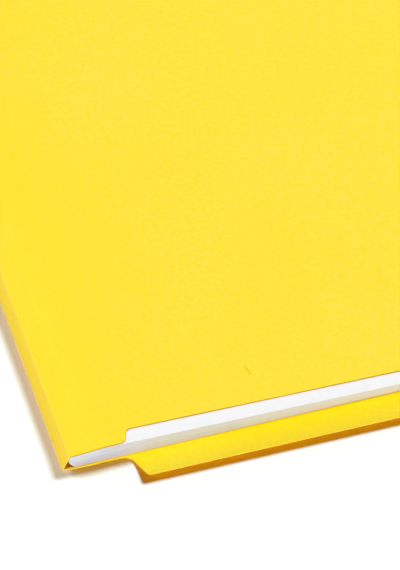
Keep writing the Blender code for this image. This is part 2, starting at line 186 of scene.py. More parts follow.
class Shader:
    """A node tree, of a material or the world, with the one method that adds nodes to it."""

    def __init__(self, owner: bpy.types.Material | bpy.types.World) -> None:
        """Takes the owner's node tree, emptied.

        Args:
            owner: The material or the world.
        """
        owner.use_nodes = True
        self.tree = owner.node_tree
        self.tree.nodes.clear()

    def node(
        self,
        kind: str,
        settings: Mapping[str, object] | None = None,
        values: Mapping[str | int, object] | None = None,
        output: str | int = 0,
    ) -> Signal | None:
        """Adds a node, sets it up and joins its inputs.

        Args:
            kind: Blender's type name of the node.
            settings: Its own settings, set before the sockets.
            values: A value or a signal for each named or numbered input.
            output: The output that is wanted.

        Returns:
            That output, or nothing where the node has none.
        """
        made = self.tree.nodes.new(kind)
        for name, value in (settings or {}).items():
            setattr(made, name, value)
        for key, value in (values or {}).items():
            socket = self._socket(made.inputs, key)
            if isinstance(value, Signal):
                self.tree.links.new(value.socket, socket)
            else:
                socket.default_value = value
        return Signal(self, self._socket(made.outputs, output)) if made.outputs else None

    @staticmethod
    def _socket(sockets: Iterable[bpy.types.NodeSocket], key: str | int) -> bpy.types.NodeSocket:
        """Finds a socket that is in use.

        Args:
            sockets: The node's inputs or outputs.
            key: Its number, name or identifier.

        Returns:
            The socket.
        """
        if isinstance(key, int):
            return list(sockets)[key]
        return next(s for s in sockets if s.enabled and key in (s.name, s.identifier))

    def place(self) -> Signal:
        """Place on the piece in millimetres, which moves with the piece."""
        return self.node("ShaderNodeTexCoord", output="Object") * (1.0 / METRES)

    def mix(self, share: Signal, low: Signal | Colour, high: Colour) -> Signal:
        """Goes from one colour to another.

        Args:
            share: How far, from 0 to 1.
            low: Colour at 0.
            high: Colour at 1.

        Returns:
            The colour.
        """
        low, high = (
            side if isinstance(side, Signal) else (*side, 1.0) for side in (low, high)
        )
        return self.node(
            "ShaderNodeMix", {"data_type": "RGBA"},
            {"Factor_Float": share, "A_Color": low, "B_Color": high}, "Result_Color",
        )


@dataclass(frozen=True)
class Grain:
    """A noise in a stock, with so many spots per millimetre, and what it does to the surface.

    Its tint shows up to its share where the noise goes over its span, or as the noise itself does
    where it has no span. A span that falls tints the low spots. A crisp relief follows the tint.
    """

    spots: Triple | float
    detail: float
    tint: Colour | None = None
    span: Span | None = None
    share: float = 1.0
    relief: float = 0.0
    rough: float = 0.0
    decay: float = 0.5
    shift: float = 0.0
    crisp: bool = False
    # A painted sheen: the tint's share grows along a direction, so the card pales as if lit more.
    sheen_gradient: SheenGradient | None = None
    sheen_gradient_share: float = 0.5

    def noise(self, place: Signal) -> Signal:
        """The noise at a place, from 0 to 1."""
        spot = place * self.spots + self.shift
        return place.shader.node(
            "ShaderNodeTexNoise", {"noise_dimensions": "3D"},
            {"Vector": spot, "Scale": 1.0, "Detail": self.detail, "Roughness": self.decay},
        )

    def shown(self, place: Signal, tone: Signal) -> Signal:
        """How much of the tint shows at a place.

        Args:
            place: Place on the piece in millimetres.
            tone: The noise there, taken over the span.

        Returns:
            The share, which grows along the painted sheen gradient's direction where one is given.
        """
        share = tone * self.share
        if self.sheen_gradient:
            direction, near, far = self.sheen_gradient
            share = share + place.along(direction).ramp(near, far) * self.sheen_gradient_share
        return share


class Mark:
    """A mark on one piece, which tints the stock and may press it in."""

    colour: Colour
    relief: float = 0.0

    def share(self, place: Signal) -> Signal:
        """How much of the mark shows at a place, from 0 to 1."""
        raise NotImplementedError

    @staticmethod
    def across(place: Signal, crease: Span) -> Signal:
        """Offset of a place from a crease, at right angles to it."""
        return (place - (crease[0] - ORIGIN.x, 0.0, crease[1])) * (1.0, 0.0, 1.0)


@dataclass(frozen=True)
class PaintedFoldShade(Mark):
    """Painted shade inside a fold: the card's colour is painted a deeper orange there."""

    crease: Span
    inward: Triple
    colour: Colour = (0.97, 0.24, 0.0)
    edge: Span = (0.04, 0.14)
    reach: Span = (5.4, 3.24)
    open_end: Span = (0.52, 1.3)
    depth: Span = (7.0, 2.0)

    def share(self, place: Signal) -> Signal:
        """How much of the painted shade shows: most near the crease, none at the fold's open end.

        Args:
            place: The place on the piece.

        Returns:
            The share, from 0 to 1.
        """
        across = self.across(place, self.crease)
        inward = place.along((0.0, 1.0, 0.0)) + ORIGIN.y
        # deep: how far in from the fold's open end the painted shade shows.
        deep = inward.ramp(*self.open_end) * inward.ramp(*self.depth)
        return across.along(self.inward).ramp(*self.edge) * deep * across.size().ramp(*self.reach)


@dataclass(frozen=True)
class CreaseWearAndHighlight(Mark):
    """Pale line along a crease: partly rubbed wear, strongest where fibres are rubbed up, partly a
    painted highlight.
    """

    crease: Span
    colour: Colour = (1.0, 0.745, 0.062)
    reach: Span = (0.42, 0.189)
    most: float = 0.8
    least_rubbed: float = 0.55
    fibre_rubbed: float = 0.6
    fibres: Grain = Grain((0.7, 3.6, 3.6), 1.0)

    def share(self, place: Signal) -> Signal:
        """How much of the pale wear and painted highlight shows.

        Args:
            place: The place on the piece.

        Returns:
            The share, from 0 to 1.
        """
        rubbed = self.least_rubbed + self.fibres.noise(place) * self.fibre_rubbed
        worn_and_lit = self.across(place, self.crease).size().ramp(*self.reach) * self.most
        return worn_and_lit * rubbed.at_most(1.0)


@dataclass(frozen=True)
class Dent(Mark):
    """Short dent in the upper face of a panel."""

    start: Triple
    end: Triple
    colour: Colour = (0.84, 0.64, 0.0)
    relief: float = -0.6
    reach: Span = (0.62, 0.248)
    skin: Span = (-0.06, 0.06)

    def share(self, place: Signal) -> Signal:
        """How deep the dent is at a place.

        Args:
            place: Place on the piece in millimetres.

        Returns:
            1 along the dent's middle, 0 away from it and on the lower face.
        """
        start, end = (Vector(point) - ORIGIN for point in (self.start, self.end))
        run = (end - start) * Vector((1.0, 1.0, 0.0))
        offset = place - tuple(start)
        upper = offset.along((0.0, 0.0, 1.0)).ramp(*self.skin)
        offset = offset * (1.0, 1.0, 0.0)
        part = offset.along(tuple(run / run.length_squared)).at_least(0.0).at_most(1.0)
        nearest = place.shader.node(
            "ShaderNodeCombineXYZ", {}, {"X": part * run.x, "Y": part * run.y, "Z": 0.0}
        )
        return upper * (offset - nearest).size().ramp(*self.reach)


class Finish:
    """The look of a stock, made from its grains and from the marks of one piece."""

    name: str
    colour: Colour
    rough: float
    depth: float = 0.03
    sheen: float = 0.3
    metallic: float = 0.0
    grains: tuple[Grain, ...] = ()
    marks: tuple[Mark, ...] = ()

    @cache
    def material(self) -> bpy.types.Material:
        """Builds the material, once for equal finishes.

        Returns:
            The material.
        """
        material = bpy.data.materials.new(self.name)
        shader = Shader(material)
        place = shader.place()
        colour, rough, height = self.colour, self.rough, 0.0
        for grain in self.grains:
            noise = grain.noise(place)
            tone = noise.ramp(*grain.span) if grain.span else noise
            if grain.tint:
                colour = shader.mix(grain.shown(place, tone), colour, grain.tint)
            if grain.relief:
                height = (tone if grain.crisp else noise) * grain.relief + height
            if grain.rough:
                rough = noise * grain.rough + rough
        for mark in self.marks:
            share = mark.share(place)
            colour = shader.mix(share, colour, mark.colour)
            if mark.relief:
                height = share * mark.relief + height
        look = {"Base Color": colour, "Roughness": rough, "Metallic": self.metallic}
        look["Specular IOR Level"] = self.sheen
        if isinstance(height, Signal):
            relief = {"Distance": self.depth * METRES, "Height": height}
            look["Normal"] = shader.node("ShaderNodeBump", {}, relief)
        principled = shader.node("ShaderNodeBsdfPrincipled", {}, look)
        shader.node("ShaderNodeOutputMaterial", {}, {"Surface": principled})
        return material


@dataclass(frozen=True)
class CardFinish(Finish):
    """Smooth coloured card: mottled pulp and short fibres, a painted sheen gradient where given,
    and the marks of one panel.
    """

    name: str
    colour: Colour = (0.99, 0.717, 0.026)
    pale: Colour = (0.99, 0.728, 0.068)
    deep: Colour = (0.965, 0.69, 0.0)
    rough: float = 0.7
    depth: float = 0.035
    sheen: float = 0.3
    sheen_gradient: SheenGradient | None = None
    marks: tuple[Mark, ...] = ()

    @property
    def grains(self) -> tuple[Grain, ...]:
        """Its clouds, pulp, streaks and fibres."""
        return (
            Grain(0.016, 1.0, self.pale, (0.35, 0.68), share=0.3, sheen_gradient=self.sheen_gradient),
            Grain(0.55, 4.0, self.deep, (0.64, 0.36), 0.5, relief=0.6, rough=0.16, decay=0.62),
            Grain((0.12, 0.9, 0.9), 2.0, self.pale, (0.5, 0.8), share=0.12, relief=0.1),
            Grain((0.7, 3.6, 3.6), 1.0, self.deep, (0.66, 0.8), share=0.35, relief=0.3),
        )


@dataclass(frozen=True)
class CutEdgeFinish(Finish):
    """Die-cut edge of a stock, with the plies of its pulp along it."""

    name: str
    colour: Colour
    pale: Colour
    rough: float = 0.84

    @property
    def grains(self) -> tuple[Grain, ...]:
        """Its plies and crumbs."""
        return (
            Grain((0.5, 0.5, 14.0), 2.0, self.pale, (0.38, 0.66), share=0.8, relief=0.6),
            Grain(5.0, 2.0, relief=0.4, rough=0.1),
        )


@dataclass(frozen=True)
class PaperFinish(Finish):
    """Bond paper: nearly even white with a faint cloudy formation and short fibres."""

    name: str = "bond_paper"
    colour: Colour = (0.87, 0.87, 0.885)
    rough: float = 0.78
    depth: float = 0.008
    grains: tuple[Grain, ...] = (
        Grain(0.3, 3.0, (0.85, 0.853, 0.857), (0.4, 0.7), share=0.8, relief=0.4, rough=0.12),
        Grain((0.96, 3.84, 3.84), 1.0, (0.83, 0.83, 0.82), (0.66, 0.8), share=0.3, relief=0.6),
    )


@dataclass(frozen=True)
class KraftFinish(Finish):
    """Kraft paper of the bonded patches, with long dark and pale fibres."""

    name: str = "kraft_patch"
    colour: Colour = (0.62, 0.45, 0.25)
    rough: float = 0.72
    sheen: float = 0.35
    grains: tuple[Grain, ...] = (
        Grain(0.5, 4.0, (0.76, 0.61, 0.39), (0.35, 0.7), 0.5, relief=0.5, rough=0.2, decay=0.6),
        Grain((0.35, 3.0, 3.0), 2.0, (0.4, 0.26, 0.12), (0.6, 0.76), share=0.6, relief=0.5),
        Grain((2.6, 0.5, 2.6), 1.0, (0.76, 0.61, 0.39), (0.64, 0.78), share=0.5, shift=31.0),
    )


@dataclass(frozen=True)
class SteelFinish(Finish):
    """Tin-plated strip steel, drawn along its length, with a few fine handling scratches."""

    name: str = "tin_plate"
    colour: Colour = (0.4, 0.4, 0.41)
    rough: float = 0.2
    depth: float = 0.008
    sheen: float = 0.5
    metallic: float = 1.0
    grains: tuple[Grain, ...] = (
        Grain(0.22, 3.0, (0.27, 0.27, 0.28), (0.35, 0.7), rough=0.12),
        Grain((0.06, 7.0, 7.0), 3.0, (0.56,) * 3, (0.5, 0.75), 0.5, relief=0.7, rough=0.18),
        Grain((0.5, 4.5, 2.0), 1.0, span=(0.7, 0.78), relief=-0.3, shift=13.0, crisp=True),
    )


@dataclass(frozen=True)
class TableFinish(Finish):
    """Buff table, which looks white under its own blue lamps and reflects the card warmly."""

    name: str = "pale_table"
    colour: Colour = (0.72, 0.66, 0.2)
    darkest: float = 0.99
    rough: float = 0.9
    sheen: float = 0.0

    @property
    def grains(self) -> tuple[Grain, ...]:
        """Its faint clouds."""
        return (Grain(0.05, 2.0, tuple(part * self.darkest for part in self.colour)),)


# Shapes


def rounded(corners: Sequence[Triple], arc_steps: int = 10) -> Outline:
    """Closed outline through corners, each rounded by an arc.

    Args:
        corners: The corners in turn, each with its place and its arc's radius.
        arc_steps: Straight steps in each arc.

    Returns:
        The outline's points.
    """
    outline = []
    tips = [Vector((x, y)) for x, y, _ in corners]
    for index, (_, _, radius) in enumerate(corners):
        tip = tips[index]
        if radius == 0.0:
            outline.append(tip)
            continue
        back, on = ((tips[i % len(tips)] - tip).normalized() for i in (index - 1, index + 1))
        half = back.angle(on) / 2.0
        centre = tip + (back + on).normalized() * (radius / math.sin(half))
        start, end = (
            (tip + side * (radius / math.tan(half)) - centre).normalized() for side in (back, on)
        )
        outline += [centre + radius * start.slerp(end, part) for part in steps(0, 1, arc_steps)]
    return outline


def rectangle(length: float, width: float, radius: float = 0.0, middle: float = 0.0) -> Outline:
    """Rounded rectangle about a place on the Y axis."""
    signs = ((-1, -1), (1, -1), (1, 1), (-1, 1))
    return rounded([(i * length / 2, middle + j * width / 2, radius) for i, j in signs])


def round_hole(x: float, radius: float, sides: int = 32) -> Outline:
    """Lower half of a round hole on the X axis, from left to right.

    Args:
        x: The hole's middle.
        radius: Its radius.
        sides: Straight sides of the whole hole.

    Returns:
        The half's points.
    """
    half = [
        Vector((x - radius * math.cos(angle), -radius * math.sin(angle)))
        for angle in steps(0.0, math.pi, sides // 2)
    ]
    half[0].y = half[-1].y = 0.0
    return half


def slot(x: float, half_length: float, half_width: float) -> Outline:
    """Lower half of a rectangular slot on the X axis, from left to right."""
    left, right = x - half_length, x + half_length
    return [Vector(p) for p in ((left, 0), (left, -half_width), (right, -half_width), (right, 0))]


def punched(outline: Outline, holes: Sequence[Outline]) -> list[Outline]:
    """Splits an outline along the X axis, where its holes lie.

    Args:
        outline: The closed outline, about the X axis.
        holes: Lower halves of its holes, from left to right.

    Returns:
        The outlines of the part below the axis and of the part above it.
    """
    left = Vector((min(point.x for point in outline), 0.0))
    right = Vector((max(point.x for point in outline), 0.0))
    lower = [point for hole in holes for point in hole]
    upper = [Vector((point.x, -point.y)) for point in lower]
    return [
        [point for point in outline if point.y < 0] + [right] + lower[::-1] + [left],
        [point for point in outline if point.y > 0] + [left] + upper + [right],
    ]


class Blank:
    """A piece that is cut flat from its stock and then bent: a closed mesh in millimetres."""

    def __init__(self, faces: Sequence[Outline], thickness: float) -> None:
        """Cuts the flat blank.

        Args:
            faces: Outlines of the flat faces that it is made of.
            thickness: The stock's thickness.
        """
        self.shape = bmesh.new()
        self.thickness = thickness
        for face in faces:
            self.shape.faces.new([self.shape.verts.new((p.x, p.y, 0.0)) for p in face])
        bmesh.ops.remove_doubles(self.shape, verts=self.shape.verts[:], dist=TOUCH)
        raised = bmesh.ops.extrude_face_region(self.shape, geom=self.shape.faces[:])
        lifted = [item for item in raised["geom"] if isinstance(item, bmesh.types.BMVert)]
        bmesh.ops.translate(self.shape, verts=lifted, vec=(0.0, 0.0, thickness))
        bmesh.ops.recalc_face_normals(self.shape, faces=self.shape.faces[:])

    def round_rim(self, radius: float, crease: float = -math.inf) -> "Blank":
        """Rounds the cut edge on both faces.

        Args:
            radius: Radius of the rounding.
            crease: Place along X of an end that stays square, because it joins a crease.

        Returns:
            The blank itself.
        """
        rim = []
        for edge in self.shape.edges:
            flat = sum(abs(face.normal.z) > LEVEL for face in edge.link_faces)
            square = all(vertex.co.x < crease + TOUCH for vertex in edge.verts)
            if flat == 1 and not square:
                rim.append(edge)
        bmesh.ops.bevel(
            self.shape, geom=rim, offset=radius, segments=2, profile=0.5, affect="EDGES",
            clamp_overlap=True,
        )
        return self

    def cut(self, x_cuts: Iterable[float] = (), y_cuts: Iterable[float] = ()) -> "Blank":
        """Adds the lines that the piece bends at.

        Args:
            x_cuts: Places along X of lines across it.
            y_cuts: Places along Y of lines across it.

        Returns:
            The blank itself.
        """
        for cuts, direction in ((x_cuts, Vector((1, 0, 0))), (y_cuts, Vector((0, 1, 0)))):
            for place in cuts:
                whole = self.shape.verts[:] + self.shape.edges[:] + self.shape.faces[:]
                bmesh.ops.bisect_plane(
                    self.shape, geom=whole, dist=TOUCH, plane_co=direction * place,
                    plane_no=direction,
                )
        many_sided = [face for face in self.shape.faces if len(face.verts) > 4]
        bmesh.ops.triangulate(self.shape, faces=many_sided)
        return self

    def mark_cut_edge(self) -> "Blank":
        """Gives the cut edge the second material of the piece.

        Returns:
            The blank itself.
        """
        self.shape.normal_update()
        for face in self.shape.faces:
            face.material_index = int(abs(face.normal.z) < LEVEL)
        return self

    def bend(self, height: Height) -> "Blank":
        """Lifts each point of the blank.

        Args:
            height: Gives the lift at a place.

        Returns:
            The blank itself.
        """
        for vertex in self.shape.verts:
            vertex.co.z += height(vertex.co.x, vertex.co.y)
        return self


def loft(sections: Sequence[Sequence[Sequence[float]]]) -> bmesh.types.BMesh:
    """Closed body through sections of equal size.

    Args:
        sections: Points of each section in turn, in millimetres.

    Returns:
        The body.
    """
    shape = bmesh.new()
    rings = [[shape.verts.new(point) for point in section] for section in sections]
    for ring, following in zip(rings, rings[1:]):
        for index, vertex in enumerate(ring):
            shape.faces.new((ring[index - 1], vertex, following[index], following[index - 1]))
    caps = [shape.faces.new(rings[0]), shape.faces.new(rings[-1][::-1])]
    bmesh.ops.triangulate(shape, faces=caps)
    bmesh.ops.recalc_face_normals(shape, faces=shape.faces[:])
    return shape


# The folder


@dataclass(frozen=True)
class FolderForm:
    """Sizes that the card, the sheets and the fasteners share, in millimetres."""

    card: float = 0.36
    panel_width: float = 241.3
    body_length: float = 298.5
    corner_radius: float = 6.0
    spine_width: float = 6.8
    spine_lean: float = math.radians(25.0)
    crease_lift: float = 1.05
    crease_lift_reach: float = 9.0
    crown: float = 1.43
    crown_reach: float = 16.0
    ply: float = 0.28
    glue: float = 0.03
    rest_gap: float = 0.05
    cover_gap: float = 0.35
    loose_length: float = 60.0
    settled_from: float = 257.0
    fastener_u: float = 112.0964
    fastener_v: float = 270.7
    fastener_base: float = 0.97
    tab_fall: float = 0.0201108
    fastener_fall: float = -0.0037334
    sheet_count: int = 30
    sheet: float = 0.1
    sheet_gap: float = 0.01

    @property
    def crease_u(self) -> float:
        """Place of the upper crease's axis across the folder."""
        return self.card / 2 + self.spine_width * math.sin(self.spine_lean)

    @property
    def low_crease_z(self) -> float:
        """Height of the lower crease's axis, which the spine holds up from the table."""
        return self.crease_lift + self.card / 2

    @property
    def crease_z(self) -> float:
        """Height of the upper crease's axis."""
        return self.low_crease_z + self.spine_width * math.cos(self.spine_lean)

    @property
    def stack_foot(self) -> float:
        """Height at which the loose end of the stack rests."""
        return self.card + self.glue + self.ply + self.rest_gap

    @property
    def stack_top(self) -> float:
        """Top of the loose stack beside the spine."""
        return self.crease_z - self.card / 2 - self.cover_gap

    @property
    def pressed(self) -> float:
        """Height of the stack where the fastener presses it."""
        return self.sheet_count * self.sheet + (self.sheet_count - 1) * self.sheet_gap

    def settled(self, v: float) -> float:
        """How far the stack is pressed together, from 0 at the tab to 1 at the fastener."""
        return smooth((v - self.loose_length) / (self.settled_from - self.loose_length))

    def crowned(self, distance: float, v: float) -> float:
        """How far the loose stack lifts the front cover at a distance from the upper crease."""
        return self.crown * smooth(distance / self.crown_reach) * (1.0 - self.settled(v))

    def cover_fall(self, distance: float, v: float) -> float:
        """How far the front cover has fallen at a distance from the upper crease."""
        fall = self.tab_fall + (self.fastener_fall - self.tab_fall) * self.settled(v)
        return distance * fall - self.crowned(distance, v)

    def stack_base(self, v: float) -> float:
        """Underside of the lowest sheet."""
        return self.stack_foot + (self.fastener_base - self.stack_foot) * self.settled(v)

    def stack_height(self, u: float, v: float) -> float:
        """Height of the stack: loose under the cover at the tab, pressed at the fastener.

        Args:
            u: Place across the folder.
            v: Place along the folder.

        Returns:
            The height of all its sheets there.
        """
        loose = self.stack_top - self.tab_fall * (u - self.crease_u) - self.stack_foot
        spare = self.crowned(u - self.crease_u, v)
        return loose + (self.pressed - loose) * self.settled(v) + spare


def placed(name: str, data: bpy.types.ID) -> bpy.types.Object:
    """Adds an object to the scene.

    Args:
        name: The object's name.
        data: Its mesh, lamp or camera.

    Returns:
        The object.
    """
    made = bpy.data.objects.new(name, data)
    bpy.context.scene.collection.objects.link(made)
    return made


def ordered(shape: bmesh.types.BMesh) -> None:
    """Orders a shape's points and faces by place. Mesh operators leave their order to chance.

    Args:
        shape: The mesh, which keeps its form.
    """
    for index, vertex in enumerate(sorted(shape.verts, key=lambda point: point.co[:])):
        vertex.index = index
    shape.verts.sort()
    faces = sorted(shape.faces, key=lambda side: sorted(vertex.index for vertex in side.verts))
    for index, face in enumerate(faces):
        face.index = index
    shape.faces.sort()


def meshed(name: str, shape: bmesh.types.BMesh) -> bpy.types.Object:
    """Adds an object with a shape's mesh to the scene, and frees the shape.

    Args:
        name: The object's name.
        shape: Its mesh.

    Returns:
        The object.
    """
    mesh = bpy.data.meshes.new(name)
    ordered(shape)
    shape.to_mesh(mesh)
    shape.free()
    return placed(name, mesh)


@dataclass(frozen=True)
class Assembly:
    """A part of the folder. It dresses its pieces, seats them and has each stand for its node."""

    form: FolderForm

    def piece(
        self,
        name: str,
        shape: bmesh.types.BMesh,
        finishes: Sequence[Finish],
        stock: Stock,
        body: str,
        stands_for: str,
        mount: Matrix | None = None,
    ) -> None:
        """Makes one piece of the folder.

        Args:
            name: The piece's name.
            shape: Its mesh in millimetres.
            finishes: Its finish, and that of its cut edge if it has one.
            stock: The record's slot that it is made of. It is not used.
            body: The body that it rides on.
            stands_for: The CAD node that it replaces.
            mount: Where its own frame lies in the folder's, if it has one.
        """
        if mount is not None:
            shape.transform(mount)
        shape.transform(Matrix.Scale(METRES, 4) @ Matrix.Translation(-ORIGIN))
        piece = meshed(name, shape)
        for finish in finishes:
            piece.data.materials.append(finish.material())
        piece.data.shade_smooth()
        piece.data.set_sharp_from_angle(angle=SHARP)
        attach(piece, body)
        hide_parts(stands_for)
        LOG.info("%s: %d faces on %s", name, len(piece.data.polygons), body)


@dataclass(frozen=True)
class CardPanels(Assembly):
    """The creased card: back with its end tab, second ply, spine and front."""

    tab_depth: float = 12.7
    tab_start: float = 25.7
    tab_flank: float = 3.5
    tab_inner_radius: float = 4.5
    tab_outer_radius: float = 2.0
    tab_lift: float = 2.7
    tab_bend_start: float = 0.6
    ply_start: float = 12.7
    ply_reach: float = 19.0
    ply_glue: float = 0.004
    front_setback: float = 0.1
    front_undercut: float = 6.1
    step_start: float = 23.9
    step_flank: float = 2.2
    step_outer_radius: float = 3.0
    step_inner_radius: float = 2.2
    score_distance: float = 6.35
    score_width: float = 1.0
    score_depth: float = 0.035
    rim_radius: float = 0.07
    spine_bow: float = 0.07
    wave_height: float = 0.14
    wave_length: float = 92.0
    wave_start: float = 60.0
    wave_heading: Span = (0.83, 0.56)
    dent: tuple[Span, Span] = ((76.73, 24.06), (77.63, 19.48))
    lift_from: float = 1.0
    lift_steps: int = 12
    tab_lip: float = 0.4
    tab_steps: int = 12
    crown_from: float = 0.8
    crown_steps: int = 16
    back_lines: tuple[Lines, Lines] = ((20.0, 230.0, 10), (20.0, 290.0, 9))
    ply_lines: Lines = (30.0, 230.0, 10)
    front_lines: tuple[Lines, Lines] = ((24.0, 234.0, 25), (12.0, 292.0, 36))
    spine_lines: Lines = (0.02, 1.0, 30)
    spine_lip: float = 0.0006
    score_steps: int = 6
    bead_steps: int = 12
    edge: CutEdgeFinish = CutEdgeFinish("yellow_card_edge", (0.94, 0.67, 0.045), (1.0, 0.79, 0.24))
    # The front panel's whole cut edge is painted dark orange-brown, as a painted shadow line where
    # it overhangs the paper.
    front_edge_painted_shadow: CutEdgeFinish = CutEdgeFinish(
        "yellow_front_edge_painted_shadow", (0.6, 0.24, 0.0), (0.7, 0.3, 0.0)
    )
    # The second ply's cut edge is painted darker than the other cut edges, as painted shade on the
    # tab's edge.
    tab_edge_painted_shade: CutEdgeFinish = CutEdgeFinish("yellow_tab_edge_painted_shade", (0.8, 0.5, 0.0), (0.9, 0.57, 0.02))
    # The front's card pales away from the spine as a painted sheen.
    front_finish: CardFinish = CardFinish(
        "yellow_card_front", sheen_gradient=((1.0, 0.0, 0.0), -115.0, -50.0)
    )
    # The spine's card is painted darker than the front's, as painted shade on its leaning outer
    # face.
    spine_shaded_finish: CardFinish = CardFinish(
        "yellow_card_spine_painted_shade", (0.87, 0.607, 0.033), (0.87, 0.617, 0.05), (0.855, 0.592, 0.015)
    )
    # The ply's card pales outward along the tab as a painted sheen and stays deeper beside the
    # paper.
    ply_finish: CardFinish = CardFinish(
        "yellow_card_ply", (1.0, 0.703, 0.002), (1.0, 0.84, 0.066), (0.98, 0.67, 0.0),
        sheen_gradient=((0.0, -1.0, 0.0), 147.5, 160.0), sheen=0.12,
    )

    def build(self) -> None:
        """Builds the four pieces of card."""
        self._back()
        self._ply()
        self._spine()
        self._front()

    def _tabbed(self, start: float, end: float, radius: float) -> Outline:
        """Outline of a card with the die-cut tab.

        Args:
            start: Where the card starts beside the spine.
            end: How far it reaches from the body's tab end.
            radius: Radius of its free far corner.

        Returns:
            The outline.
        """
        form = self.form
        return rounded([
            (start, 0.0, 0.0),
            (self.tab_start, 0.0, self.tab_inner_radius),
            (self.tab_start + self.tab_flank, -self.tab_depth, self.tab_outer_radius),
            (form.panel_width, -self.tab_depth, form.corner_radius),
            (form.panel_width, end, radius),
            (start, end, 0.0),
        ])

    def _back_lift(self, u: float, v: float) -> float:
        """Height of the back's underside, which curls up at the tab and at the crease.

        Args:
            u: Place across the folder.
            v: Place along the folder.

        Returns:
            The height above the table.
        """
        form = self.form
        half = form.card / 2
        reach = self.tab_bend_start + self.tab_depth
        tab = self.tab_lift * max((self.tab_bend_start - v) / reach, 0.0) ** 2
        near = max(form.crease_lift_reach - u, 0.0) / (form.crease_lift_reach - half)
        return tab + form.crease_lift * near ** 2

    def _tab_lines(self) -> list[float]:
        """Lines along which the tab curls."""
        return steps(self.tab_lip - self.tab_depth, self.tab_bend_start, self.tab_steps)

    def _hug_crease(self, blank: Blank, start: float, low: float, high: float) -> None:
        """Slants a panel's creased end so that it closes on the bead of its crease.

        Args:
            blank: The flat panel.
            start: Where its creased end lies.
            low: How far its lower edge stands back from there.
            high: How far its upper edge does.
        """
        for vertex in blank.shape.verts:
            if vertex.co.x < start + TOUCH:
                part = vertex.co.z / blank.thickness
                vertex.co.x += low + (high - low) * part

    def _back(self) -> None:
        """Back panel, which the folder lies on."""
        form = self.form
        start = form.card / 2
        outline = self._tabbed(start, form.body_length, form.corner_radius)
        blank = Blank([outline], form.card).round_rim(self.rim_radius, start).mark_cut_edge()
        slope = math.atan(2.0 * form.crease_lift / form.crease_lift_reach)
        inner_angle = math.pi / 2 - form.spine_lean - slope
        self._hug_crease(blank, start, 0.0, form.card / 2 / math.tan(inner_angle / 2))
        across, down = self.back_lines
        lift = steps(self.lift_from, form.crease_lift_reach, self.lift_steps)
        blank.cut(lift + steps(*across), self._tab_lines() + steps(*down)).bend(self._back_lift)
        # The back's card is painted deeper orange inside the lower crease's fold, as painted
        # shade.
        fold = PaintedFoldShade((start, form.low_crease_z), (math.sin(slope), 0.0, math.cos(slope)))
        finish = CardFinish("yellow_card_back", marks=(fold,))
        self.piece(
            "back_panel", blank.shape, [finish, self.edge], Stock.CARD, Body.BACK.value,
            "back_cover",
        )

    def _ply(self) -> None:
        """Second ply, die-cut with the tab and glued over it."""
        form = self.form
        outline = self._tabbed(self.ply_start, self.ply_reach, 0.0)
        blank = Blank([outline], form.ply).round_rim(self.rim_radius).mark_cut_edge()
        blank.cut(steps(*self.ply_lines), self._tab_lines())
        blank.bend(lambda u, v: form.card + self.ply_glue + self._back_lift(u, v))
        self.piece(
            "tab_second_ply", blank.shape, [self.ply_finish, self.tab_edge_painted_shade], Stock.CARD,
            Body.BACK.value, "tab_reinforcement",
        )

    def _spine(self) -> None:
        """Spine, with a round bead in each crease and a slight bow between them."""
        form = self.form
        half = form.card / 2
        width = form.spine_width
        bead = [
            (half * math.cos(angle), half * math.sin(angle))
            for angle in steps(0.0, math.pi, self.bead_steps)
        ]
        side = steps(0.0, width, self.bead_steps)[1:-1]
        profile = [(-x, -z) for x, z in bead] + [(half, z) for z in side]
        profile += [(x, width + z) for x, z in bead] + [(-half, z) for z in side[::-1]]
        sections = []
        for part in [0.0, self.spine_lip] + steps(*self.spine_lines):
            section = []
            for x, z in profile:
                near = self.front_setback * z / width
                bow = self.spine_bow * math.sin(math.pi * min(max(z / width, 0.0), 1.0))
                section.append((x - bow, near + (form.body_length - near) * part, z))
            sections.append(section)
        shape = loft(sections)
        shape.normal_update()
        for face in shape.faces:
            face.material_index = int(abs(face.normal.y) > LEVEL)
        foot = Matrix.Translation((half, 0.0, form.low_crease_z))
        crease = foot @ Matrix.Rotation(form.spine_lean, 4, "Y")
        creases = (half, form.low_crease_z), (form.crease_u, form.crease_z)
        # Each crease gets a pale line, partly rubbed wear and partly a painted highlight.
        finish = replace(self.spine_shaded_finish, marks=tuple(CreaseWearAndHighlight(crease) for crease in creases))
        self.piece(
            "spine_gusset", shape, [finish, self.edge], Stock.CARD, Body.SPINE.value,
            "spine_panel", crease,
        )

    def _front_height(self, x: float, v: float) -> float:
        """Height of the front panel's underside above the upper crease's axis.

        Args:
            x: Distance from the upper crease.
            v: Place along the folder.

        Returns:
            The height, with the score's groove and a slight wave in the loose card.
        """
        form = self.form
        groove = max(1.0 - abs(x - self.score_distance) * 2 / self.score_width, 0.0)
        across, down = self.wave_heading
        phase = math.tau * (across * x + down * v) / self.wave_length
        loose = smooth(x / self.wave_start) * (1.0 - form.settled(v))
        wave = self.wave_height * loose * (0.5 + 0.5 * math.sin(phase))
        return wave - form.card / 2 - form.cover_fall(x, v) - self.score_depth * smooth(groove)

